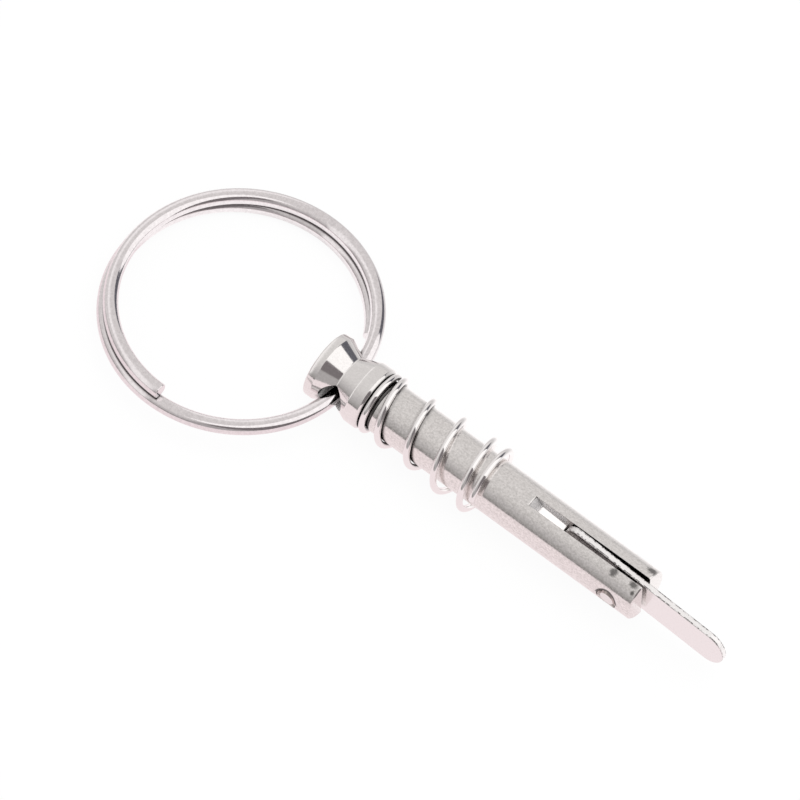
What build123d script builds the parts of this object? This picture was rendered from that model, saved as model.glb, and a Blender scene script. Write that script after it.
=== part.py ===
"""Drop-nose quick release pin in stainless steel, lying on its side.

A turned pin carries a flat nose that swings on a cross pin in the slotted tip.
A coiled spring grips the shank behind the work, and a split ring through the
waist of the head pulls the pin out.

Millimetres. The origin is on the shank's axis at the front face of the collar,
+X runs along the shank to the tip, +Z is up and the slot stands upright.
"""
import os
from math import cos, radians, sin, sqrt

from build123d import *

# ---- driving dimensions --------------------------------------------------

# shank: the 6.35 mm (1/4 in) cylinder that goes through the work
shank_diameter = 6.35
shank_length = 38.1
tip_chamfer = 0.15

# head: a collar, a waist that holds the ring, and a flange to pull on
collar_diameter = 7.8
collar_width = 1.8
collar_chamfer = 0.3
waist_diameter = 5.8
waist_from_collar = 2.3
flange_diameter = 8.1
flange_from_waist = 2.25
flange_width = 1.05
flange_chamfer = 0.2
waist_fillet = 0.3
ring_hole_diameter = 3.2
ring_hole_from_collar = 3.95

# slot: sawn in from the tip, so that its end is an arc of the saw
slot_width = 1.4
slot_top_start = 22.1
saw_diameter = 32.0
saw_centre_height = 7.0

# nose: a flat blade that hangs in the slot and drops across the hole behind the work
pivot_from_tip = 3.15
pivot_diameter = 2.7
pivot_recess = 0.15
pivot_chamfer = 0.45
pivot_clearance = 0.04
nose_thickness = 0.75
nose_width = 5.6
nose_reach = 14.3
nose_tail = 8.2
nose_tip_rounding = 2.3
nose_tail_radius = 1.6
nose_edge_fillet = 0.15
nose_side_play = 0.12
nose_droop = 5.5

# spring: round wire, closed and gripping at the collar, wider and free at the other end
spring_wire = 0.78
spring_groove_width = 1.3
spring_groove_depth = 0.15
spring_grip_clearance = 0.05
spring_neck_clearance = 0.06
spring_free_diameter = 9.0
spring_seat_clearance = 0.05
spring_start_angle = 20.0
spring_closed_turns = 0.58
spring_opening_turns = 0.63
spring_active_turns = 2.845
spring_closing_turns = 0.45
spring_end_turns = 0.87
spring_closed_pitch = 0.3
spring_active_pitch = 4.15
spring_end_pitch = 1.45
spring_lift_turns = 0.3
spring_flare_start = 2.25
spring_flare_turns = 1.2
spring_points_per_turn = 16

# split ring: flattened wire in two turns, which change level where they pass the head
ring_outer_diameter = 31.6
ring_wire_width = 1.74
ring_wire_thickness = 1.56
ring_wire_rounding = 0.55
ring_turn_gap = 0.02
ring_upper_end = 270.0
ring_lower_end = 32.0
ring_crossing = 28.0
ring_crossing_steps = 8
ring_turn_shift = 0.6
ring_shift_angle = 222.0
ring_tilt = 2.15
ring_roll = 6.8
ring_play_back = 0.03
ring_play_side = 0.58
ring_play_down = 0.18

# ---- places worked out from them -----------------------------------------

shank_radius = shank_diameter / 2
groove_radius = shank_radius - spring_groove_depth
collar_radius = collar_diameter / 2
flange_radius = flange_diameter / 2
waist_x = -collar_width - waist_from_collar
flange_front_x = waist_x - flange_from_waist
head_x = flange_front_x - flange_width
pivot_x = shank_length - pivot_from_tip
saw_radius = saw_diameter / 2
saw_run = sqrt(saw_radius**2 - (saw_centre_height - shank_radius) ** 2)
saw_centre_x = slot_top_start + saw_run

os.makedirs("parts", exist_ok=True)

# ---- pin body: head and shank turned in one, then drilled and sawn ----------

with BuildPart() as pin_body:
    with BuildSketch(Plane.XZ) as turned_profile:
        with BuildLine():
            Polyline(
                (head_x, 0),
                (head_x, flange_radius),
                (flange_front_x, flange_radius),
                (waist_x, waist_diameter / 2),
                (-collar_width, collar_radius),
                (0, collar_radius),
                (0, groove_radius),
                (spring_groove_width, groove_radius),
                (spring_groove_width, shank_radius),
                (shank_length, shank_radius),
                (shank_length, 0),
                close=True,
            )
        make_face()
        waist_corner = turned_profile.vertices().sort_by_distance((waist_x, 0, waist_diameter / 2))
        fillet(waist_corner[0], waist_fillet)
        back_corner = turned_profile.vertices().sort_by_distance((head_x, 0, flange_radius))
        chamfer(back_corner[0], flange_chamfer)
        collar_corner = turned_profile.vertices().sort_by_distance((0, 0, collar_radius))
        chamfer(collar_corner[0], collar_chamfer)
        tip_corner = turned_profile.vertices().sort_by_distance((shank_length, 0, shank_radius))
        chamfer(tip_corner[0], tip_chamfer)
    revolve(axis=Axis.X)
    # the saw runs in from the tip until its rim reaches the slot's start
    with BuildSketch(Plane.XZ) as saw_path:
        with Locations((saw_centre_x, saw_centre_height)):
            Circle(saw_radius)
            Rectangle(shank_length, saw_diameter, align=(Align.MIN, Align.CENTER))
    extrude(amount=slot_width / 2, both=True, mode=Mode.SUBTRACT)
    # cross holes for the nose's pivot and for the ring
    with BuildSketch(Plane.XZ) as cross_holes:
        with Locations((pivot_x, 0)):
            Circle(pivot_diameter / 2)
        with Locations((-ring_hole_from_collar, 0)):
            Circle(ring_hole_diameter / 2)
    extrude(amount=flange_radius, both=True, mode=Mode.SUBTRACT)
pin_body.part.label = "pin_body"
export_step(pin_body.part, "parts/pin_body.step")

# ---- pivot pin: a dowel pressed through both cheeks, its ends below the surface ----

pivot_length = 2 * (shank_radius - pivot_recess)

with BuildPart() as pivot_pin:
    with Locations((pivot_x, 0, 0)):
        Cylinder(pivot_diameter / 2, pivot_length, rotation=(90, 0, 0))
    pivot_rims = pivot_pin.edges().filter_by(GeomType.CIRCLE)
    chamfer(pivot_rims, pivot_chamfer)
pivot_pin.part.label = "pivot_pin"
export_step(pivot_pin.part, "parts/pivot_pin.step")

# ---- drop nose: a blanked blade with a rounded tip, hung on the pivot pin ----

droop = radians(nose_droop)
nose_plane = Plane(
    origin=(pivot_x, nose_side_play, 0), x_dir=(cos(droop), 0, -sin(droop)), z_dir=(0, -1, 0)
)
nose_shoulder = nose_reach - nose_tip_rounding

with BuildPart() as drop_nose:
    with BuildSketch(nose_plane) as nose_outline:
        with BuildLine():
            Polyline(
                (nose_shoulder, nose_width / 2),
                (-nose_tail, nose_width / 2),
                (-nose_tail, -nose_width / 2),
                (nose_shoulder, -nose_width / 2),
            )
            EllipticalCenterArc(
                (nose_shoulder, 0), nose_tip_rounding, nose_width / 2, start_angle=-90, arc_size=180
            )
        make_face()
        tail_corners = nose_outline.vertices().group_by(Axis.X)[0]
        fillet(tail_corners, nose_tail_radius)
        Circle(pivot_diameter / 2 + pivot_clearance, mode=Mode.SUBTRACT)
    extrude(amount=nose_thickness / 2, both=True)
    flat_faces = drop_nose.faces().filter_by(Axis.Y)
    rims = [edge for face in flat_faces for edge in face.outer_wire().edges()]
    fillet(rims, nose_edge_fillet)
drop_nose.part.label = "drop_nose"
export_step(drop_nose.part, "parts/drop_nose.step")

# ---- spring: closed in a groove at the collar, opening out to a free end ----

grip_radius = groove_radius + spring_grip_clearance + spring_wire / 2
neck_radius = shank_radius + spring_neck_clearance + spring_wire / 2
free_radius = (spring_free_diameter - spring_wire) / 2
spring_stages = [
    (spring_closed_turns, spring_closed_pitch, spring_closed_pitch),
    (spring_opening_turns, spring_closed_pitch, spring_active_pitch),
    (spring_active_turns, spring_active_pitch, spring_active_pitch),
    (spring_closing_turns, spring_active_pitch, spring_end_pitch),
    (spring_end_turns, spring_end_pitch, spring_end_pitch),
]
spring_turns = sum(turns for turns, _, _ in spring_stages)


def spring_advance(turn):
    """Distance of the wire's centre from the collar, this many turns from its start."""
    advance = spring_wire / 2 + spring_seat_clearance
    for turns, first_pitch, last_pitch in spring_stages:
        done = min(max(turn, 0), turns)
        advance += done * (first_pitch + (last_pitch - first_pitch) * done / (2 * turns))
        turn -= turns
    return advance


def spring_ramp(turn, start, turns):
    """Share of a change of radius that is done, from 0 to 1, eased at both ends."""
    share = min(max((turn - start) / turns, 0), 1)
    return share**2 * (3 - 2 * share)


def spring_point(turn):
    """Centre of the wire, this many turns from its start."""
    lifted = spring_ramp(turn, spring_closed_turns, spring_lift_turns)
    flared = spring_ramp(turn, spring_flare_start, spring_flare_turns)
    radius = grip_radius + (neck_radius - grip_radius) * lifted
    radius += (free_radius - neck_radius) * flared
    angle = radians(spring_start_angle + 360 * turn)
    return (spring_advance(turn), radius * cos(angle), radius * sin(angle))


spring_steps = round(spring_turns * spring_points_per_turn)

with BuildPart() as spring:
    with BuildLine():
        coil = Spline(
            *[spring_point(spring_turns * step / spring_steps) for step in range(spring_steps + 1)]
        )
    with BuildSketch(Plane(origin=coil @ 0, z_dir=coil % 0)):
        Circle(spring_wire / 2)
    sweep()
spring.part.label = "spring"
export_step(spring.part, "parts/spring.step")

# ---- split ring: two turns of flattened wire, crossing level inside the head's hole ----

ring_radius = (ring_outer_diameter - ring_wire_width) / 2
ring_level = (ring_wire_thickness + ring_turn_gap) / 2
ring_normal = Vector(-sin(radians(ring_tilt)), sin(radians(ring_roll)), 1)
ring_plane = Plane(
    origin=(-ring_hole_from_collar - ring_play_back, -ring_play_side, -ring_play_down),
    x_dir=(1, 0, sin(radians(ring_tilt))),
    z_dir=ring_normal,
)


def ring_turn_centre(share):
    """Centre of a turn in the ring's plane, from share 0, the upper turn, to 1, the lower."""
    shift = ring_turn_shift * (share - 0.5)
    angle = radians(ring_shift_angle)
    return Vector(-ring_radius + shift * cos(angle), shift * sin(angle), ring_level * (1 - 2 * share))


def ring_crossing_point(progress):
    """Centre of the wire on its way from the upper turn down to the lower one."""
    share = progress**2 * (3 - 2 * progress)
    angle = radians(ring_crossing * (1 - 2 * progress))
    centre = ring_turn_centre(share) + Vector(cos(angle), sin(angle), 0) * ring_radius
    return ring_plane.from_local_coords(centre)


def ring_section_plane(share, degree):
    """Plane across the wire of a turn, with its x direction out from the ring's centre."""
    outward = Vector(cos(radians(degree)), sin(radians(degree)), 0)
    along = Vector(-sin(radians(degree)), cos(radians(degree)), 0)
    section = Plane(
        origin=ring_turn_centre(share) + outward * ring_radius, x_dir=outward, z_dir=along
    )
    return Plane(ring_plane.location * section.location)


def ring_turn_axis(share):
    """Axis through the centre of a turn, square to the ring's plane."""
    return Axis(ring_plane.from_local_coords(ring_turn_centre(share)), ring_plane.z_dir)


with BuildSketch() as ring_section:
    RectangleRounded(ring_wire_width, ring_wire_thickness, ring_wire_rounding)

with BuildPart() as split_ring:
    # the upper turn, from where it dips into the hole round to its cut end
    upper_start = ring_section_plane(0, ring_crossing)
    with BuildSketch(upper_start):
        add(ring_section.sketch)
    revolve(axis=ring_turn_axis(0), revolution_arc=ring_upper_end - ring_crossing)
    # the lower turn, from its cut end round to where it comes out of the hole
    lower_end = ring_section_plane(1, -ring_crossing)
    with BuildSketch(ring_section_plane(1, ring_lower_end)):
        add(ring_section.sketch)
    revolve(axis=ring_turn_axis(1), revolution_arc=360 - ring_crossing - ring_lower_end)
    # the crossing between them, which passes through the head
    with BuildLine():
        crossing_steps = range(ring_crossing_steps + 1)
        crossing = Spline(
            *[ring_crossing_point(step / ring_crossing_steps) for step in crossing_steps],
            tangents=[-upper_start.z_dir, -lower_end.z_dir],
        )
    with BuildSketch(upper_start):
        add(ring_section.sketch)
    sweep(path=crossing)
split_ring.part.label = "split_ring"
export_step(split_ring.part, "parts/split_ring.step")
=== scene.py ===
# %% [markdown]
# # A drop-nose quick release pin
#
# The real thing is a small stainless pin. A flat nose swings on a cross pin in
# the slotted tip, a coiled spring pushes the work against that nose, and a
# split ring pulls the whole pin out. Five pieces are made here, each over the
# piece of the fixed frame that it stands for. All sizes below are in
# millimetres, and `mm` turns them into Blender's metres.

# %% Load the frame
from math import atan2, cos, pi, radians, sin

import bmesh
import bpy
from mathutils import Matrix, Vector


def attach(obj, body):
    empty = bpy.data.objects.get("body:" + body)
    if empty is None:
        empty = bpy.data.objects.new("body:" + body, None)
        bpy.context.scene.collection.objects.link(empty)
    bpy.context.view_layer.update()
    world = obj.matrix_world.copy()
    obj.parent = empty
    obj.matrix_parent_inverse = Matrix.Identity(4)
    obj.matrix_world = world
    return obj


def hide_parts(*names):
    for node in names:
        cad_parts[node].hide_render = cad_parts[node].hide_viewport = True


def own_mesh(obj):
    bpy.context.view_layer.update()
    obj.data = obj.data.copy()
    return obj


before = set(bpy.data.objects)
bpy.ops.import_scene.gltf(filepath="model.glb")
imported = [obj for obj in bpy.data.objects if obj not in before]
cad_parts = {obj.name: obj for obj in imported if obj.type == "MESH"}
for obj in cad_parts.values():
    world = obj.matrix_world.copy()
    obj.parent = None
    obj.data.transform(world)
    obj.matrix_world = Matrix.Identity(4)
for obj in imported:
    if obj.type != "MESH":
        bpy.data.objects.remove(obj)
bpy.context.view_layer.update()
mm = 0.001

# %% [markdown]
# ## Sizes
#
# The shank is the 6.35 mm (1/4 in) cylinder that goes through the work, and
# X runs along it from the head to the tip. The collar's front face is at zero.
# These are the frame's own sizes, so each new piece lands on its solid.

# %% Sizes of the turned pin
shank_radius, shank_length = 3.175, 38.1
groove_radius, groove_width = 3.025, 1.3
collar_radius, collar_width = 3.9, 1.8
waist_radius, waist_x = 2.9, -4.1
flange_radius, flange_front_x, head_x = 4.05, -6.35, -7.4
ring_hole_x, ring_hole_radius, ring_hole_turn = -3.95, 1.6, radians(8)
pivot_x, pivot_radius, pivot_recess = 34.95, 1.35, 0.15
print("from the head's end to the tip in mm:", shank_length - head_x)

# %% [markdown]
# ## Helpers for modelling
#
# A bmesh is a mesh held in memory. Operators shape it, and `finish_piece` turns
# it into an object that rides on a body of the frame and replaces the plain
# solid. Metal shows every kink in its highlights, so faces are smooth except
# across edges sharper than a chosen angle. On a piece with both wide faces and
# narrow rounded edges, a Weighted Normal modifier keeps the wide faces true.


# %% Helpers for modelling
def to_object(bm, name):
    """Writes the bmesh, drawn in millimetres, to a new object in metres."""
    bmesh.ops.scale(bm, vec=(mm, mm, mm), verts=bm.verts)
    mesh = bpy.data.meshes.new(name)
    bm.to_mesh(mesh)
    bm.free()
    piece = bpy.data.objects.new(name, mesh)
    bpy.context.scene.collection.objects.link(piece)
    return piece


def shade(piece, sharp_angle):
    """Smooth faces, with edges sharper than this many degrees kept crisp."""
    piece.data.shade_smooth()
    piece.data.set_sharp_from_angle(angle=radians(sharp_angle))


def even_normals(piece):
    """Lets the large faces lead the shading, so that rounded edges don't bend the flats."""
    even = piece.modifiers.new("even_normals", "WEIGHTED_NORMAL")
    even.mode, even.weight, even.keep_sharp = "FACE_AREA", 50, True


def finish_piece(piece, node, body, material):
    """Gives the piece its material and sets it in the frame in place of its solid."""
    piece.data.materials.clear()
    piece.data.materials.append(material)
    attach(piece, body)
    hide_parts(node)
    print(piece.name, "has", len(piece.data.polygons), "faces")


# %% Helpers for rounding and turning
def round_corners(bm, corners, radius, segments):
    """Rounds these corners of a flat outline."""
    bmesh.ops.bevel(
        bm, geom=corners, offset=radius, offset_type="OFFSET", affect="VERTICES",
        segments=segments, profile=0.5, material=-1,
    )


def round_rims(bm, edges, width):
    """Rounds these edges, as tumbling or polishing does."""
    bmesh.ops.bevel(
        bm, geom=edges, offset=width, offset_type="OFFSET", affect="EDGES",
        segments=3, profile=0.5, material=-1, clamp_overlap=True,
    )


def rim_edges(bm):
    """The edges that keep to one Y: the rims of a plate, or of a rod, across Y."""
    return [edge for edge in bm.edges if abs(edge.verts[0].co.y - edge.verts[1].co.y) < 0.01]


def thicken(bm, thickness):
    """Draws a flat outline out along Y into a plate."""
    plate = bmesh.ops.extrude_face_region(bm, geom=bm.faces[:])["geom"]
    far_side = [item for item in plate if isinstance(item, bmesh.types.BMVert)]
    bmesh.ops.translate(bm, verts=far_side, vec=(0, thickness, 0))


def rotate(bm, angle, axis):
    """Turns all that is drawn so far about an axis through the origin."""
    turn = Matrix.Rotation(angle, 3, axis)
    bmesh.ops.rotate(bm, verts=bm.verts, cent=(0, 0, 0), matrix=turn)


# %% [markdown]
# ## Helpers for materials
#
# Every finish is a small network of nodes. `add_node` makes one node, sets its
# sockets and hands it back, so that a network reads from top to bottom. Many
# networks here are masks: numbers from 0 to 1 that say where a finish lies.


# %% Helpers for nodes
def add_node(tree, kind, sockets=None, **settings):
    """Adds a node. Numbers set a socket, and another node's output links to it."""
    node = tree.nodes.new(kind)
    for name, value in settings.items():
        setattr(node, name, value)
    for key, value in (sockets or {}).items():
        if isinstance(value, bpy.types.NodeSocket):
            tree.links.new(value, node.inputs[key])
        else:
            node.inputs[key].default_value = value
    return node


def calc(tree, operation, a, b=0.0):
    """One Math node's output."""
    return add_node(tree, "ShaderNodeMath", {0: a, 1: b}, operation=operation).outputs[0]


def noise(tree, vector, scale, detail, roughness=0.5):
    """Blender's noise, with its scale in patches per metre."""
    sockets = {"Vector": vector, "Scale": scale, "Detail": detail, "Roughness": roughness}
    return add_node(tree, "ShaderNodeTexNoise", sockets).outputs["Fac"]


def ramp(tree, value, *stops):
    """A colour ramp through (position, grey or colour) stops."""
    node = add_node(tree, "ShaderNodeValToRGB", {"Fac": value})
    points = node.color_ramp.elements
    while len(points) < len(stops):
        points.new(1.0)
    for point, (position, colour) in zip(points, stops):
        point.position = position
        grey = not isinstance(colour, tuple)
        point.color = (colour, colour, colour, 1) if grey else (*colour, 1)
    return node.outputs["Color"]


def blend(tree, factor, first, second, data_type="RGBA", **settings):
    """Mixes two colours or numbers. A factor of 0 gives the first, and 1 the second."""
    sockets = {"Factor": factor, "A": first, "B": second}
    return add_node(
        tree, "ShaderNodeMix", sockets, data_type=data_type, **settings
    ).outputs["Result"]


# %% Helpers for masks
def spread(tree, value, low, high, to_low, to_high):
    """Maps a range of numbers to another, and holds it there."""
    sockets = {
        "Value": value, "From Min": low, "From Max": high, "To Min": to_low, "To Max": to_high,
    }
    return add_node(tree, "ShaderNodeMapRange", sockets).outputs["Result"]


def past(tree, length, start, end):
    """0 where a length is under `start` millimetres, and 1 where it is over `end`."""
    return spread(tree, length, start * mm, end * mm, 0.0, 1.0)


def short_of(tree, length, start, end):
    """1 where a length is under `start` millimetres, and 0 where it is over `end`."""
    return spread(tree, length, start * mm, end * mm, 1.0, 0.0)


def both(tree, first, second):
    """Where both masks hold."""
    return calc(tree, "MULTIPLY", first, second)


def either(tree, first, second):
    """Where at least one of two masks holds."""
    return calc(tree, "MAXIMUM", first, second)


def outside(tree, mask):
    """Where a mask doesn't hold."""
    return calc(tree, "SUBTRACT", 1.0, mask)


# %% Helpers for places
def axes(tree, vector):
    """The X, Y and Z of a vector."""
    return add_node(tree, "ShaderNodeSeparateXYZ", {"Vector": vector}).outputs


def keep_axes(tree, vector, kept):
    """Keeps a vector's axes that are marked 1, and drops those marked 0."""
    node = add_node(tree, "ShaderNodeVectorMath", {0: vector, 1: kept}, operation="MULTIPLY")
    return node.outputs["Vector"]


def length_of(tree, vector):
    """How long a vector is."""
    node = add_node(tree, "ShaderNodeVectorMath", {0: vector}, operation="LENGTH")
    return node.outputs["Value"]


def from_pivot_axis(tree, place):
    """How far a point is from the pivot's axis."""
    beside = add_node(
        tree, "ShaderNodeMapping",
        {"Vector": place, "Location": (-pivot_x * mm, 0, 0), "Scale": (1, 0, 1)},
    )
    return length_of(tree, beside.outputs["Vector"])


# %% [markdown]
# All five steels start in the same way. A Bevel node rounds their edges in the
# shading, as tumbling does, and a Bump node takes the fine relief of the finish.
# Shade gathers where another surface stands close. The Ambient Occlusion node finds those places,
# and that shade is painted into the colour there.


# %% Helpers for bare steel
def steel(name, base_colour, edge_round):
    """A bare metal with rounded edges, and the tree, places, shader and bump it is made of."""
    material = bpy.data.materials.new(name)
    material.use_nodes = True
    tree = material.node_tree
    tree.nodes.clear()
    place = add_node(tree, "ShaderNodeTexCoord").outputs["Object"]
    edge = add_node(tree, "ShaderNodeBevel", {"Radius": edge_round * mm}, samples=4)
    bump = add_node(tree, "ShaderNodeBump", {"Normal": edge.outputs["Normal"]})
    shader = add_node(tree, "ShaderNodeBsdfPrincipled", {
        "Base Color": (*base_colour, 1), "Metallic": 1.0, "Normal": bump.outputs["Normal"],
    })
    add_node(tree, "ShaderNodeOutputMaterial", {"Surface": shader.outputs["BSDF"]})
    return material, tree, place, shader, bump


def relief(tree, bump, height, strength, depth):
    """Presses a pattern into the surface, over a depth in millimetres."""
    tree.links.new(height, bump.inputs["Height"])
    bump.inputs["Strength"].default_value = strength
    bump.inputs["Distance"].default_value = depth * mm


def paint_crevice_shade(tree, colour, reach, bare=0.0):
    """Paints shade into a colour where another surface stands close, except where `bare` is 1."""
    deepest = 0.12
    near = add_node(
        tree, "ShaderNodeAmbientOcclusion", {"Distance": reach * mm}, samples=6,
    ).outputs["AO"]
    shade_there = either(tree, spread(tree, near, 0.3, 0.85, deepest, 1.0), bare)
    return blend(tree, 1.0, colour, shade_there, blend_type="MULTIPLY")


# %% [markdown]
# ## Finish of the turned pin
#
# Bar stock is turned, sawn and then tumbled, which leaves a fine mottled satin
# on the shank and a smoother shine on the head. Noise drawn out along the bar
# gives both its grain, and the head's finer rings come from a wave across it.

# %% Turned steel: grain and shine
turned_steel, tree, place, shader, bump = steel("turned_steel", (0.87, 0.85, 0.84), 0.035)
along = add_node(tree, "ShaderNodeMapping", {"Vector": place, "Scale": (0.8, 1.0, 1.0)})
grain = noise(tree, along.outputs["Vector"], 5200, 4, 0.6)
mottle = noise(tree, along.outputs["Vector"], 4200, 4, 0.65)
point = axes(tree, place)
on_shank = past(tree, point["X"], -0.1, 0.2)
rings = add_node(
    tree, "ShaderNodeTexWave", {"Vector": place, "Scale": 2600, "Distortion": 1.5, "Detail": 2},
    bands_direction="X",
).outputs["Fac"]
shank_height = calc(tree, "ADD", grain, calc(tree, "MULTIPLY", mottle, 0.8))
head_height = calc(tree, "MULTIPLY", rings, 0.2)
relief(tree, bump, blend(tree, on_shank, head_height, shank_height, "FLOAT"), 0.6, 0.004)
shine = spread(tree, mottle, 0.3, 0.7, 0.08, 0.15)
shine = calc(tree, "ADD", shine, calc(tree, "MULTIPLY", on_shank, 0.03))
tree.links.new(shine, shader.inputs["Roughness"])
print("grain and shine take", len(tree.nodes), "nodes")

# %% [markdown]
# Where the tumbling has bitten deeper, the steel is a little darker. The mottle
# that dulls the shine also sets the tone, and it shows more on the shank than on
# the head.

# %% Turned steel: tone
shank_tone = ramp(tree, mottle, (0.34, (0.7, 0.68, 0.665)), (0.66, (0.93, 0.905, 0.89)))
head_tone = ramp(tree, mottle, (0.34, (0.82, 0.8, 0.79)), (0.66, (0.9, 0.88, 0.87)))
tone = blend(tree, on_shank, head_tone, shank_tone)
print("with the tone it is", len(tree.nodes), "nodes")

# %% [markdown]
# Painted shade darkens the groove beside the collar, most at its two edges, and the roof of the
# ring's hole. Each is found from its place: the groove along X, and the hole by the distance from
# its axis.

# %% Painted shade in the groove and on the hole's roof
groove_place = past(tree, point["X"], -0.1, 1.4)
painted_shade_and_dents = ramp(
    tree, groove_place, (0.05, 1.0), (0.064, 0.06), (0.12, 0.08), (0.5, 0.34), (0.78, 0.26),
    (0.9, 0.07), (0.925, 0.07), (0.94, 1.0),
)
from_hole = add_node(
    tree, "ShaderNodeVectorMath", {0: place, 1: (ring_hole_x * mm, 0, 0)}, operation="SUBTRACT"
).outputs["Vector"]
from_hole = add_node(
    tree, "ShaderNodeVectorRotate", {"Vector": from_hole, "Angle": ring_hole_turn},
    rotation_type="X_AXIS",
).outputs["Vector"]
from_hole_axis = length_of(tree, keep_axes(tree, from_hole, (1, 0, 1)))
in_ring_hole = short_of(tree, from_hole_axis, ring_hole_radius + 0.01, ring_hole_radius + 0.04)
roof = both(tree, in_ring_hole, past(tree, point["Z"], 0.0, 0.6))
painted_shade_and_dents = calc(tree, "MULTIPLY", painted_shade_and_dents, spread(tree, roof, 0.0, 1.0, 1.0, 0.05))
print("grime lies", groove_width, "mm along the groove and up the roof of the hole")

# %% [markdown]
# Four small dull dents sit on the cheeks round the pivot, where a punch closed them on the dowel.
# Each is a stretched ball: the distance from its middle, after a stretch along each axis, says
# how much it darkens the steel. Painted shade also darkens an arch round the upper side of the
# dowel's hole.

# %% Punch marks on the cheeks
punch_marks = (  # the middle and the size of each
    ((34.42, -1.16, 2.95), (0.56, 0.62, 0.6)),
    ((37.12, -1.05, 2.98), (0.62, 0.42, 0.6)),
    ((37.5, -1.75, 2.6), (0.26, 0.34, 0.4)),
    ((37.5, 1.85, 2.6), (0.75, 0.62, 0.6)),
)
for middle, size in punch_marks:
    stretched = add_node(
        tree, "ShaderNodeMapping",
        {"Vector": place, "Location": [c * mm for c in middle], "Scale": [s * mm for s in size]},
        vector_type="TEXTURE",
    ).outputs["Vector"]
    away = calc(tree, "ADD", length_of(tree, stretched), calc(tree, "MULTIPLY", mottle, 0.8))
    painted_shade_and_dents = calc(tree, "MULTIPLY", painted_shade_and_dents, spread(tree, away, 0.9, 1.5, 0.28, 1.0))
from_pivot = from_pivot_axis(tree, place)
# painted shade: an arch round the upper side of the pivot's hole
arch = either(
    tree, spread(tree, from_pivot, 1.48 * mm, 1.58 * mm, 0.16, 1.0),
    short_of(tree, point["Z"], 0.1, 0.5),
)
painted_shade_and_dents = calc(tree, "MULTIPLY", painted_shade_and_dents, arch)
tone_with_shade_and_dents = blend(tree, 1.0, tone, painted_shade_and_dents, blend_type="MULTIPLY")
print(len(punch_marks), "punch marks and an arch darken the cheeks")

# %% [markdown]
# Behind the nose, the cutter that made the slot left a shallow pocket. Its floor is painted near
# white as a highlight, and painted shade darkens its sides and its back end. Three masks find it:
# two say where it starts and ends along the shank, and the third holds below the shank's round
# surface, where only the pocket lies.

# %% Shallow pocket
pocket_along = both(
    tree, past(tree, point["X"], 21.92, 22.0), short_of(tree, point["X"], 26.25, 26.36)
)
from_shank_axis = length_of(tree, keep_axes(tree, place, (0, 1, 1)))
pocket = both(tree, pocket_along, short_of(tree, from_shank_axis, 2.96, 3.06))
from_slot_middle = calc(tree, "ABSOLUTE", point["Y"])
# painted light: a near white highlight on the pocket's floor, and shade on its sides and back end
pocket_light_and_shade = calc(
    tree, "MULTIPLY", spread(tree, point["X"], 22.6 * mm, 23.2 * mm, 0.62, 1.0),
    spread(tree, from_slot_middle, 0.62 * mm, 0.68 * mm, 1.0, 0.74),
)
pocket_painted_light = ramp(tree, pocket_light_and_shade, (0.0, 0.0), (1.0, (1.0, 0.97, 0.965)))
tone_with_painted_light = blend(tree, pocket, tone_with_shade_and_dents, pocket_painted_light)
pocket_floor = both(
    tree, short_of(tree, from_slot_middle, 0.64, 0.68), past(tree, point["X"], 22.85, 23.05)
)
pocket_sides = both(tree, pocket, outside(tree, pocket_floor))
print("with the pocket it is", len(tree.nodes), "nodes")

# %% [markdown]
# Two more masks finish the steel. The pocket's sides and the lower wall of the ring's hole
# scatter light instead of mirroring it. And four places would look too dark with the painted
# shade where surfaces stand close, so they are kept bare of it: the pocket, that lower wall, the
# low side of the pivot's hole, and the tip.

# %% Matt places, and places bare of painted shade
low_wall = calc(tree, "SUBTRACT", in_ring_hole, roof)
under_pivot = both(
    tree, short_of(tree, from_pivot, 1.6, 1.9), short_of(tree, point["Z"], -0.3, 0.2)
)
at_tip = past(tree, point["X"], 37.3, 37.8)
bare = either(tree, either(tree, either(tree, pocket, under_pivot), low_wall), at_tip)
matt = either(tree, pocket_sides, low_wall)
tree.links.new(spread(tree, matt, 0.0, 1.0, 1.0, 0.0), shader.inputs["Metallic"])
# painted shade where another surface stands close, left off the bare places
tree.links.new(paint_crevice_shade(tree, tone_with_painted_light, 0.6, bare), shader.inputs["Base Color"])
print(turned_steel.name, "has", len(tree.nodes), "nodes")

# %% [markdown]
# ## Turned pin
#
# Head and shank are one piece on the real pin. A lathe makes it, so it is made
# the same way here: half of its outline is drawn, the corners are rounded, and
# the outline is spun about the axis. The slot and the holes are cut afterwards,
# as they are in the workshop.

# %% Outline of the turned pin
collar_chamfer, tip_chamfer = 0.3, 0.15
outline = [  # X, radius and rounding of each corner
    (head_x, 0.0, 0.0),
    (head_x, flange_radius, 0.2),
    (flange_front_x, flange_radius, 0.06),
    (waist_x, waist_radius, 0.12),
    (-collar_width, collar_radius, 0.1),
    (-collar_chamfer, collar_radius, 0.05),
    (0.0, collar_radius - collar_chamfer, 0.04),
    (0.0, groove_radius, 0.0),
    (groove_width, groove_radius, 0.0),
    (groove_width, shank_radius, 0.03),
    (shank_length - tip_chamfer, shank_radius, 0.03),
    (shank_length, shank_radius - tip_chamfer, 0.03),
    (shank_length, 0.0, 0.0),
]
bm = bmesh.new()
corners = [bm.verts.new((x, 0, radius)) for x, radius, _ in outline]
for first, second in zip(corners, corners[1:]):
    bm.edges.new((first, second))
for corner, (_, _, rounding) in zip(corners, outline):
    if rounding:
        round_corners(bm, [corner], rounding, 4)
print("the outline has", len(bm.verts), "points")

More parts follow.
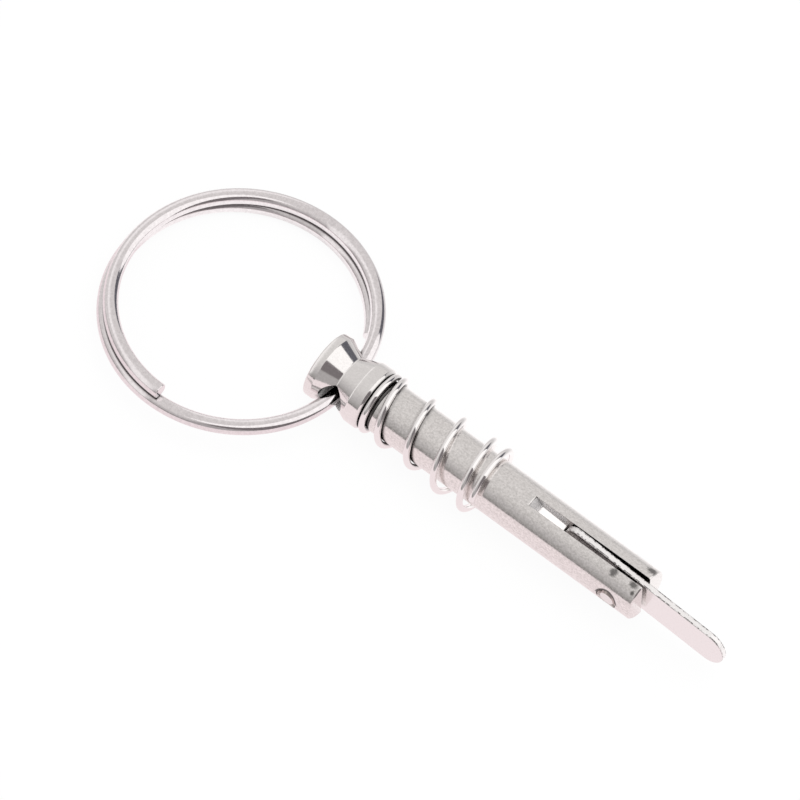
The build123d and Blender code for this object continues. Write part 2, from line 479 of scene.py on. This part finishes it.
# %% Spin the outline
bmesh.ops.spin(
    bm, geom=bm.verts[:] + bm.edges[:], cent=(0, 0, 0), axis=(1, 0, 0), angle=2 * pi,
    steps=192, use_merge=True,
)
bmesh.ops.remove_doubles(bm, verts=bm.verts, dist=0.0005)
bmesh.ops.recalc_face_normals(bm, faces=bm.faces)
print("spun, it has", len(bm.faces), "faces")
turned_pin = to_object(bm, "turned_pin")

# %% [markdown]
# The slot goes right through at the tip. Behind the nose it is only a shallow
# pocket, whose floor slopes along the shank and leans to one side. So its cutter
# is a side view, drawn as one outline and given the slot's width, and then the
# points of the pocket's floor are moved. Two small drills open the cross holes.


# %% Cutting tools
def rod(radius, length, middle, sides=96, turn=0.0):
    """A round rod along Y with its middle at this point, turned a little about X."""
    bm = bmesh.new()
    bmesh.ops.create_cone(
        bm, cap_ends=True, segments=sides, radius1=radius, radius2=radius, depth=length
    )
    rotate(bm, pi / 2 - turn, "X")
    bmesh.ops.translate(bm, verts=bm.verts, vec=middle)
    return bm


def cut(piece, *cutters):
    """Takes the cutters out of the piece, and throws them away."""
    for cutter in cutters:
        hole = piece.modifiers.new("cut", "BOOLEAN")
        hole.object, hole.operation, hole.solver = cutter, "DIFFERENCE", "EXACT"
        depsgraph = bpy.context.evaluated_depsgraph_get()
        shaped = bpy.data.meshes.new_from_object(piece.evaluated_get(depsgraph))
        piece.modifiers.clear()
        piece.data = shaped
        bpy.data.objects.remove(cutter)


# %% Slot cutter
slot_width, pocket_lean = 1.4, 0.2
slot_start, slot_through, slot_past_tip, slot_past_side = 21.7, 26.4, 45.0, 5.0
side_view = (
    (slot_start, 3.4), (22.08, 2.96), (22.4, 2.3), (22.9, 1.72), (23.0, 1.66),
    (slot_through, 1.24), (slot_through, -slot_past_side), (slot_past_tip, -slot_past_side),
    (slot_past_tip, slot_past_side), (slot_start, slot_past_side),
)
bm = bmesh.new()
bm.faces.new([bm.verts.new((x, -slot_width / 2, z)) for x, z in side_view])
thicken(bm, slot_width)
for vert in bm.verts:
    on_pocket_floor = 22.5 < vert.co.x < 27 and 0 < vert.co.z < 2
    if on_pocket_floor:
        vert.co.z += pocket_lean * vert.co.y
bmesh.ops.recalc_face_normals(bm, faces=bm.faces)
slot_cutter = to_object(bm, "slot_cutter")
print("the slot is", slot_width, "mm wide and goes right through from", slot_through, "mm on")

# %% Cut the slot and drill the holes
drill_length = 12
ring_drill = to_object(
    rod(ring_hole_radius, drill_length, (ring_hole_x, 0, 0), turn=ring_hole_turn), "ring_drill"
)
pivot_drill = to_object(rod(pivot_radius, drill_length, (pivot_x, 0, 0)), "pivot_drill")
cut(turned_pin, slot_cutter, ring_drill, pivot_drill)
shade(turned_pin, 24)
even_normals(turned_pin)
finish_piece(turned_pin, "pin_body", "pin", turned_steel)

# %% [markdown]
# ## Pivot pin
#
# A short dowel pressed through both cheeks. Its ends lie a little below the
# surface and are chamfered, so each shows as a disc at the bottom of its hole.
# The colour on the ends is darker towards the rim, a painted shade where the hole's upper edge
# shades the recess, except on the low side.

# %% Pivot steel
pivot_steel, tree, place, shader, bump = steel("pivot_steel", (0.84, 0.82, 0.81), 0.03)
grain = noise(tree, place, 4200, 3)
relief(tree, bump, grain, 0.4, 0.004)
tree.links.new(spread(tree, grain, 0.3, 0.7, 0.16, 0.26), shader.inputs["Roughness"])
# painted shade: the upper part of each end darkens towards the rim
rim = both(
    tree, past(tree, from_pivot_axis(tree, place), 0.85, 1.4),
    past(tree, axes(tree, place)["Z"], -0.5, 0.1),
)
rim_painted_shade = ramp(
    tree, rim, (0.0, (0.84, 0.82, 0.81)), (0.12, (0.5, 0.44, 0.42)), (0.55, (0.42, 0.36, 0.34)),
    (0.8, (0.05, 0.045, 0.045)),
)
tree.links.new(rim_painted_shade, shader.inputs["Base Color"])
print(pivot_steel.name, "has", len(tree.nodes), "nodes")

# %% Pivot pin
pivot_length, pivot_slip, end_chamfer = 2 * (shank_radius - pivot_recess), 0.002, 0.45
bm = rod(pivot_radius - pivot_slip, pivot_length, (pivot_x, 0, 0), sides=72)
bmesh.ops.bevel(
    bm, geom=rim_edges(bm), offset=end_chamfer, offset_type="OFFSET", affect="EDGES",
    segments=1, profile=0.5, material=-1,
)
pivot_pin = to_object(bm, "dowel")
shade(pivot_pin, 30)
finish_piece(pivot_pin, "pivot_pin", "pin", pivot_steel)

# %% [markdown]
# ## Nose
#
# The nose is blanked from sheet and tumbled. Its outline starts as a plain
# rectangle: the tail's corners get a small round, and the tip's corners get one
# as wide as half the blade, which is then drawn in to the blunter real curve.
# The flat sides are smooth and the blanked rim is rough, with small dark pits
# near its edges.

# %% Sizes of the nose
nose_thickness, nose_width, nose_side_play = 0.75, 5.6, 0.12
nose_reach, nose_tail = 14.3, 8.2
tip_rounding, tail_radius, nose_rim_rounding = 2.3, 1.6, 0.13
nose_droop = radians(5.5)
shoulder, half_width = nose_reach - tip_rounding, nose_width / 2
print("the nose is", nose_reach + nose_tail, "mm long")

# %% Blade steel: rim and pits
blade_steel, tree, place, shader, bump = steel("blade_steel", (0.88, 0.86, 0.855), 0.035)
facing = add_node(tree, "ShaderNodeNewGeometry").outputs["True Normal"]
on_rim = spread(tree, calc(tree, "ABSOLUTE", axes(tree, facing)["Y"]), 0.5, 0.8, 1.0, 0.0)
drawn = add_node(tree, "ShaderNodeMapping", {"Vector": place, "Scale": (0.4, 1.0, 1.0)})
pits = noise(tree, drawn.outputs["Vector"], 5600, 2, 0.6)
pit_shape = ramp(tree, pits, (0.45, 0.0), (0.51, 1.0))
pit_tone = ramp(tree, pits, (0.45, (0.12, 0.11, 0.11)), (0.51, (0.93, 0.915, 0.91)))
point = axes(tree, place)
from_middle = calc(tree, "ABSOLUTE", calc(tree, "SUBTRACT", point["Y"], nose_side_play * mm))
at_edge = both(tree, on_rim, past(tree, from_middle, 0.17, 0.25))
blade_tone = blend(tree, at_edge, (0.9, 0.885, 0.88, 1), pit_tone)
past_slot = past(tree, point["X"], 37.2, 37.7)
# painted shade where the cheeks stand close, left off past the slot's end
tree.links.new(paint_crevice_shade(tree, blade_tone, 0.4, past_slot), shader.inputs["Base Color"])
print("the rim's tone takes", len(tree.nodes), "nodes")

# %% Blade steel: relief and shine
grain = noise(tree, place, 2600, 4, 0.6)
height = calc(tree, "ADD", grain, calc(tree, "MULTIPLY", pit_shape, at_edge))
relief(tree, bump, height, 0.5, 0.006)
shine = calc(
    tree, "ADD", spread(tree, grain, 0.3, 0.7, 0.14, 0.22), calc(tree, "MULTIPLY", on_rim, 0.15)
)
tree.links.new(shine, shader.inputs["Roughness"])
print(blade_steel.name, "has", len(tree.nodes), "nodes")

# %% Blank the nose
tip_square = shoulder + half_width
blank_corners = (
    (-nose_tail, -half_width), (tip_square, -half_width),
    (tip_square, half_width), (-nose_tail, half_width),
)
bm = bmesh.new()
corners = [bm.verts.new((x, -nose_thickness / 2, z)) for x, z in blank_corners]
bm.faces.new(corners)
for corner in corners:
    if corner.co.x > 0:
        round_corners(bm, [corner], half_width * 0.999, 24)  # a hair short, so the two stay apart
    else:
        round_corners(bm, [corner], tail_radius, 12)
for vert in bm.verts:
    if vert.co.x > shoulder:
        vert.co.x = shoulder + (vert.co.x - shoulder) * tip_rounding / half_width
thicken(bm, nose_thickness)
bmesh.ops.recalc_face_normals(bm, faces=bm.faces)
round_rims(bm, rim_edges(bm), nose_rim_rounding)
print("the blank has", len(bm.faces), "faces")

# %% Hang the nose on its pivot
nose_drill_play, nose_drill_length = 0.04, 4
rotate(bm, nose_droop, "Y")
bmesh.ops.translate(bm, verts=bm.verts, vec=(pivot_x, nose_side_play, 0))
nose = to_object(bm, "nose_blade")
nose_drill = rod(pivot_radius + nose_drill_play, nose_drill_length, (pivot_x, 0, 0), sides=64)
cut(nose, to_object(nose_drill, "nose_drill"))
shade(nose, 35)
even_normals(nose)
finish_piece(nose, "drop_nose", "nose", blade_steel)

# %% [markdown]
# ## Wire, wound step by step
#
# The spring and the ring are both wound from wire. `wind_on` does what a coiling
# machine does: it turns the wire's section a little about an axis and joins it
# to the last one. After each step the new section is also moved a little, so
# that a coil can open out and close up. `close_ends` caps the two cuts.


# %% Winding helpers
def wind_on(bm, section, middle, axis, turn):
    """Turns a wire's section by one step. Returns the new section and its points."""
    section = bmesh.ops.spin(
        bm, geom=section, cent=middle, axis=axis, angle=turn, steps=1,
    )["geom_last"]
    return section, [item for item in section if isinstance(item, bmesh.types.BMVert)]


def close_ends(bm, first, last, rounding):
    """Caps a wire's two cut ends and rounds the rims of the cuts."""
    for section in (first, last):
        rim = [item for item in section if isinstance(item, bmesh.types.BMEdge)]
        bmesh.ops.contextual_create(bm, geom=rim)
    bmesh.ops.recalc_face_normals(bm, faces=bm.faces)
    caps = [face for face in bm.faces if len(face.verts) > 4]
    round_rims(bm, [edge for cap in caps for edge in cap.edges], rounding)


def soft_share(share):
    """Holds the share of a change that is done between 0 and 1, and softens its ends."""
    share = min(max(share, 0.0), 1.0)
    return share**2 * (3 - 2 * share)


# %% [markdown]
# ## Spring
#
# The first turn is closed and sits in a groove beside the collar. Then the coil
# opens to its working pitch, hugs the shank for a turn, widens, and closes again
# at its free end. The wire is drawn, so its shine is bright with faint streaks.

# %% Spring wire
wire_colour = (0.89, 0.87, 0.865)
spring_steel, tree, place, shader, bump = steel("spring_steel", wire_colour, 0.02)
grain = noise(tree, place, 3600, 3, 0.6)
relief(tree, bump, grain, 0.35, 0.003)
tree.links.new(spread(tree, grain, 0.3, 0.7, 0.05, 0.11), shader.inputs["Roughness"])
# painted shade where the wire stands close to the shank and to the collar
tree.links.new(paint_crevice_shade(tree, (*wire_colour, 1), 0.5), shader.inputs["Base Color"])
print(spring_steel.name, "has", len(tree.nodes), "nodes")

# %% Sizes of the spring
wire, wire_end_rounding = 0.78, 0.08
coil_width, collar_gap, groove_play, shank_play = 9.0, 0.05, 0.05, 0.06
grip_radius = groove_radius + groove_play + wire / 2
neck_radius = shank_radius + shank_play + wire / 2
free_radius = (coil_width - wire) / 2
start_angle = radians(20)
closed_pitch, working_pitch, free_pitch = 0.3, 4.15, 1.45
stages = (  # turns, and the pitch where each stage starts and ends
    (0.58, closed_pitch, closed_pitch),
    (0.63, closed_pitch, working_pitch),
    (2.845, working_pitch, working_pitch),
    (0.45, working_pitch, free_pitch),
    (0.87, free_pitch, free_pitch),
)
lift_start, lift_turns = 0.58, 0.3
flare_start, flare_turns = 2.25, 1.2
turns = sum(stage_turns for stage_turns, _, _ in stages)
steps_per_turn = 96
steps = round(turns * steps_per_turn)
print("the spring has", round(turns, 2), "turns")


# %% Course of the spring's wire
def spring_reach(turn):
    """How far along the shank the wire's middle is, this many turns from its start."""
    reach = wire / 2 + collar_gap
    for stage_turns, first_pitch, last_pitch in stages:
        done = min(max(turn, 0.0), stage_turns)
        reach += done * (first_pitch + (last_pitch - first_pitch) * done / (2 * stage_turns))
        turn -= stage_turns
    return reach


def spring_radius(turn):
    """The coil's radius there: it lifts out of the groove, then flares to its free end."""
    lifted = soft_share((turn - lift_start) / lift_turns)
    flared = soft_share((turn - flare_start) / flare_turns)
    radius = grip_radius + (neck_radius - grip_radius) * lifted
    return radius + (free_radius - neck_radius) * flared


def spring_move(step, points):
    """The move that this step adds to its turn about the shank."""
    before, after = step * turns / steps, (step + 1) * turns / steps
    middle = sum((point.co for point in points), Vector()) / len(points)
    outward = Vector((0, middle.y, middle.z)).normalized()
    move = outward * (spring_radius(after) - spring_radius(before))
    move.x = spring_reach(after) - spring_reach(before)
    return move


# %% Wind the spring
bm = bmesh.new()
bmesh.ops.create_circle(bm, segments=28, radius=wire / 2)
bmesh.ops.translate(bm, verts=bm.verts, vec=(spring_reach(0), grip_radius, 0))
rotate(bm, start_angle, "X")
start = bm.verts[:] + bm.edges[:]
section = start
for step in range(steps):
    section, points = wind_on(bm, section, (0, 0, 0), (1, 0, 0), 2 * pi * turns / steps)
    bmesh.ops.translate(bm, verts=points, vec=spring_move(step, points))
close_ends(bm, start, section, wire_end_rounding)
coil = to_object(bm, "coil_spring")
shade(coil, 40)
finish_piece(coil, "spring", "spring", spring_steel)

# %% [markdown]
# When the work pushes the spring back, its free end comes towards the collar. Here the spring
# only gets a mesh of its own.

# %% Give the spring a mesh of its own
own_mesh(coil)

# %% [markdown]
# ## Split ring
#
# One flattened wire makes two turns. It is wound in its own plane, and where it
# passes through the head it drops from the upper level to the lower one. The
# wire's section is a rectangle with well rounded corners, as rolling leaves it.

# %% Ring wire
ring_steel, tree, place, shader, bump = steel("ring_steel", (0.86, 0.83, 0.84), 0.03)
grain = noise(tree, place, 3000, 4, 0.6)
relief(tree, bump, grain, 0.35, 0.003)
tree.links.new(spread(tree, grain, 0.3, 0.7, 0.07, 0.15), shader.inputs["Roughness"])
ring_tone = ramp(tree, grain, (0.35, (0.76, 0.725, 0.735)), (0.65, (0.88, 0.845, 0.855)))
# painted shade where the ring's turns stand close to each other and to the head
tree.links.new(paint_crevice_shade(tree, ring_tone, 0.6), shader.inputs["Base Color"])
print(ring_steel.name, "has", len(tree.nodes), "nodes")

# %% Sizes of the ring
wire_width, wire_thickness, wire_rounding, turn_gap = 1.74, 1.56, 0.68, 0.02
ring_width, ring_end_rounding = 31.6, 0.1
ring_radius = (ring_width - wire_width) / 2
ring_level = (wire_thickness + turn_gap) / 2
crossing, upper_end, lower_end = radians(28), radians(270), radians(30)
turn_shift, shift_angle = 0.6, radians(222)
total_turn = upper_end + 2 * pi - lower_end
steps = round(total_turn / radians(1.5))
print("the ring's wire turns", round(total_turn / (2 * pi), 2), "times")


# %% Course of the ring's wire
def turn_middle(share):
    """Middle of a turn in the ring's plane: share 0 is the upper turn, 1 the lower."""
    shift = turn_shift * (share - 0.5)
    return Vector((
        -ring_radius + shift * cos(shift_angle), shift * sin(shift_angle),
        ring_level * (1 - 2 * share),
    ))


def level_share(angle):
    """0 on the upper turn, 1 on the lower one, and a smooth drop through the head."""
    return soft_share((crossing - angle) / (2 * crossing))


# %% Section of the ring's wire
bm = bmesh.new()
bmesh.ops.create_grid(bm, x_segments=1, y_segments=1, size=0.5)
bmesh.ops.scale(bm, vec=(wire_width, wire_thickness, 1), verts=bm.verts)
round_corners(bm, bm.verts[:], wire_rounding, 8)
bmesh.ops.delete(bm, geom=bm.faces[:], context="FACES_ONLY")
rotate(bm, pi / 2, "X")
bmesh.ops.translate(bm, verts=bm.verts, vec=(ring_radius, 0, 0))
rotate(bm, upper_end, "Z")
bmesh.ops.translate(bm, verts=bm.verts, vec=turn_middle(0))
start = bm.verts[:] + bm.edges[:]
print("the wire's section has", len(bm.verts), "points")

# %% Wind the ring
section, angle = start, upper_end
for step in range(steps):
    share = level_share(angle)
    section, points = wind_on(bm, section, turn_middle(share), (0, 0, 1), -total_turn / steps)
    angle -= total_turn / steps
    move = turn_middle(level_share(angle)) - turn_middle(share)
    bmesh.ops.translate(bm, verts=points, vec=move)
close_ends(bm, start, section, ring_end_rounding)
print("wound, it has", len(bm.faces), "faces")

# %% [markdown]
# The ring hangs in the head's hole and lies on the table, so its plane tips a
# little. The three axes of that plane become the columns of one matrix.

# %% Lay the ring in place
ring_tilt, ring_roll = sin(radians(2.15)), sin(radians(6.8))
hang_x, hang_y, hang_z = -0.03, -0.58, -0.18
normal = Vector((-ring_tilt, ring_roll, 1)).normalized()
ring_x = Vector((1, 0, ring_tilt)).normalized()
ring_y = normal.cross(ring_x)
turn_to_place = Matrix((ring_x, ring_y, normal)).transposed()
bmesh.ops.rotate(bm, verts=bm.verts, cent=(0, 0, 0), matrix=turn_to_place)
bmesh.ops.translate(bm, verts=bm.verts, vec=(ring_hole_x + hang_x, hang_y, hang_z))
ring = to_object(bm, "pull_ring")
shade(ring, 35)
even_normals(ring)
finish_piece(ring, "split_ring", "ring", ring_steel)

# %% [markdown]
# ## Floor
#
# The pin lies on the rim of its head, on the spring's free coil and on the ring,
# so the floor slopes a little along the shank and a little across it. A hair of
# a gap under them keeps the metal out of the floor.

# %% Floor
floor_slope, floor_roll, floor_level = -0.0231, -0.0428, -4.22
floor_gap, floor_reach = 0.02, 3000
bm = bmesh.new()
bmesh.ops.create_grid(bm, x_segments=1, y_segments=1, size=floor_reach)
rotate(bm, atan2(-floor_slope, 1), "Y")
rotate(bm, atan2(floor_roll, 1), "X")
bmesh.ops.translate(bm, verts=bm.verts, vec=(0, 0, floor_level - floor_gap))
floor = to_object(bm, "floor")
print("the floor lies", -floor_level, "mm under the shank's axis")

# %% [markdown]
# The floor looks different to each kind of ray. The camera sees a white sheet
# with a faint shadow. Metal sees a warm white sheet on the near side, and on the
# far side a grey one that is white only close to the pin.


# %% White sheet on the floor
def mix_shaders(tree, share, first, second):
    """Mixes two shaders. A share of 0 gives the first, and 1 the second."""
    return add_node(tree, "ShaderNodeMixShader", {0: share, 1: first, 2: second}).outputs[0]


warm_white = (0.96, 0.86, 0.875)
sheet = bpy.data.materials.new("white_sheet")
sheet.use_nodes = True
tree = sheet.node_tree
tree.nodes.clear()
place = add_node(tree, "ShaderNodeTexCoord").outputs["Object"]
ray = add_node(tree, "ShaderNodeLightPath").outputs
across_floor = past(tree, axes(tree, place)["Y"], -4, 40)
glow = ramp(
    tree, across_floor, (0.086, warm_white), (0.118, (1.12, 1.08, 1.08)),
    (0.3, (1.1, 1.07, 1.07)), (0.41, (0.9, 0.88, 0.88)), (0.59, (0.78, 0.76, 0.76)),
    (0.91, (0.68, 0.665, 0.66)),
)
warm = add_node(tree, "ShaderNodeEmission", {"Color": glow, "Strength": 1.0}).outputs[0]
white = add_node(tree, "ShaderNodeEmission", {"Color": (1, 1, 1, 1), "Strength": 1.0}).outputs[0]
paper = add_node(tree, "ShaderNodeBsdfDiffuse", {"Color": (0.9, 0.9, 0.9, 1)}).outputs[0]
shown = mix_shaders(tree, 0.93, paper, white)
to_camera = mix_shaders(tree, ray["Is Camera Ray"], paper, shown)
to_all = mix_shaders(tree, ray["Is Glossy Ray"], to_camera, warm)
add_node(tree, "ShaderNodeOutputMaterial", {"Surface": to_all})
floor.data.materials.append(sheet)
print(sheet.name, "has", len(tree.nodes), "nodes")

# %% [markdown]
# ## Room
#
# Bare steel is only as good as what it mirrors. The room is a world shader that
# reads directions. Overhead it is an even grey, and on the near side it darkens
# down to a dark line just above the warm white floor.

# %% Room seen from the shank
world = bpy.data.worlds.new("studio")
bpy.context.scene.world = world
world.use_nodes = True
tree = world.node_tree
tree.nodes.clear()
way = add_node(tree, "ShaderNodeTexCoord").outputs["Generated"]
toward = axes(tree, way)
from_zenith = calc(tree, "ARCTAN2", calc(tree, "MULTIPLY", toward["Y"], -1.0), toward["Z"])
room = ramp(
    tree, spread(tree, from_zenith, 0.0, pi / 2, 0.0, 1.0),
    (0.0, (0.75, 0.73, 0.72)), (0.28, (0.72, 0.7, 0.69)), (0.38, (0.66, 0.64, 0.63)),
    (0.52, (0.6, 0.58, 0.575)), (0.66, (0.53, 0.51, 0.51)), (0.8, (0.44, 0.425, 0.42)),
    (0.9, (0.34, 0.325, 0.32)), (0.965, (0.2, 0.19, 0.19)), (0.976, warm_white),
)
print("the room without its panels takes", len(tree.nodes), "nodes")

# %% [markdown]
# Off the tip's end stands one large softbox with hard edges, with a black flag on
# each side of it and a grey panel low down. A narrow strip light stands off the
# head's end. Planes through the pin cut the room up: each panel lies on one side
# of its planes.


# %% Panels in the room
def beyond(tree, way, side, soft):
    """1 on one side of a plane through the pin, 0 on the other, with an edge this soft."""
    dot = add_node(
        tree, "ShaderNodeVectorMath", {0: way, 1: side}, operation="DOT_PRODUCT"
    ).outputs["Value"]
    return spread(tree, dot, 0.0, soft, 0.0, 1.0)


near_of_box = beyond(tree, way, (0.14, -1.0, -0.265), 0.02)
far_of_box = beyond(tree, way, (-1.18, 1.0, -0.834), 0.03)
low_side = beyond(tree, way, (-0.575, -1.0, -0.575), 0.03)
tip_side = spread(tree, toward["X"], 0.12, 0.2, 0.0, 1.0)
tip_side_far = spread(tree, toward["X"], 0.0, 0.08, 0.0, 1.0)
room = blend(tree, both(tree, tip_side, near_of_box), room, (0.2, 0.18, 0.185, 1))
room = blend(tree, both(tree, tip_side, low_side), room, (0.44, 0.42, 0.42, 1))
room = blend(tree, both(tree, tip_side_far, far_of_box), room, (0.13, 0.13, 0.15, 1))
print("two flags and a grey panel stand round the softbox")

# %% Softbox and strip light
box = both(tree, beyond(tree, way, (1.0, 0.0, 0.12), 0.03), outside(tree, near_of_box))
box = both(tree, box, outside(tree, far_of_box))
room = blend(tree, box, room, (1.15, 1.13, 1.12, 1))
strip = both(
    tree, spread(tree, toward["X"], -0.36, -0.4, 0.0, 1.0),
    spread(tree, toward["X"], -0.7, -0.6, 0.0, 1.0),
)
strip = both(tree, strip, beyond(tree, way, (0.0, 0.0, 1.0), 0.3))
room = blend(tree, strip, room, (1.0, 0.98, 0.97, 1))
print("with the lights the room has", len(tree.nodes), "nodes")

# %% [markdown]
# Only mirrored rays see that room. The camera sees plain white behind the pin,
# and all other light is an even near-white.

# %% What each ray sees
ray = add_node(tree, "ShaderNodeLightPath").outputs
mirrored = either(tree, ray["Is Glossy Ray"], ray["Is Transmission Ray"])
lit = blend(tree, mirrored, (0.9, 0.9, 0.9, 1), room)
colour = blend(tree, ray["Is Camera Ray"], lit, (1, 1, 1, 1))
background = add_node(tree, "ShaderNodeBackground", {"Color": colour, "Strength": 1.0})
add_node(tree, "ShaderNodeOutputWorld", {"Surface": background.outputs[0]})
print(world.name, "has", len(tree.nodes), "nodes")

# %% [markdown]
# ## Lamp
#
# One wide soft lamp overhead gives the floor a faint shadow without a hard edge.
# The metal doesn't mirror it, because the room already holds its lights.

# %% Lamp
lamp_place, lamp_width, lamp_watts = Vector((0.1, 0.1, 0.5)), 0.5, 1.2  # metres and watts
lamp_data = bpy.data.lights.new("softbox", "AREA")
lamp_data.shape, lamp_data.size, lamp_data.energy = "SQUARE", lamp_width, lamp_watts
lamp = bpy.data.objects.new("softbox", lamp_data)
lamp.location = lamp_place
lamp.rotation_mode = "QUATERNION"
lamp.rotation_quaternion = lamp_place.to_track_quat("Z", "Y")
lamp.visible_glossy = False
bpy.context.scene.collection.objects.link(lamp)
print("the lamp stands", round(lamp_place.length, 2), "m from the collar")

# %% [markdown]
# ## Camera
#
# The camera looks steeply down from the near side with a long lens. It is set
# from three axes, its right, its up and the way back to it, and the pin crosses
# the frame from upper left to lower right.

# %% Camera
towards = Vector((0.265, -0.369, 0.891)).normalized()
lean = radians(35.98)
view_width, aim_right, aim_up = 88.889, 2.55, 0.102
level = (Vector((1, 0, 0)) - towards * towards.x).normalized()
across = towards.cross(level)
right = level * cos(lean) + across * sin(lean)
up = towards.cross(right)
camera_data = bpy.data.cameras.new("camera")
camera_data.lens, camera_data.sensor_width = 1200, 36
camera_data.clip_start, camera_data.clip_end = 1, 20
camera = bpy.data.objects.new("camera", camera_data)
bpy.context.scene.collection.objects.link(camera)
distance = view_width * camera_data.lens / camera_data.sensor_width
target = right * aim_right + up * aim_up
turn = Matrix((right, up, towards)).transposed().to_4x4()
camera.matrix_world = Matrix.Translation((target + towards * distance) * mm) @ turn
bpy.context.scene.camera = camera
print("camera distance in mm:", round(distance))

# %% Colours
bpy.context.scene.view_settings.view_transform = "Standard"
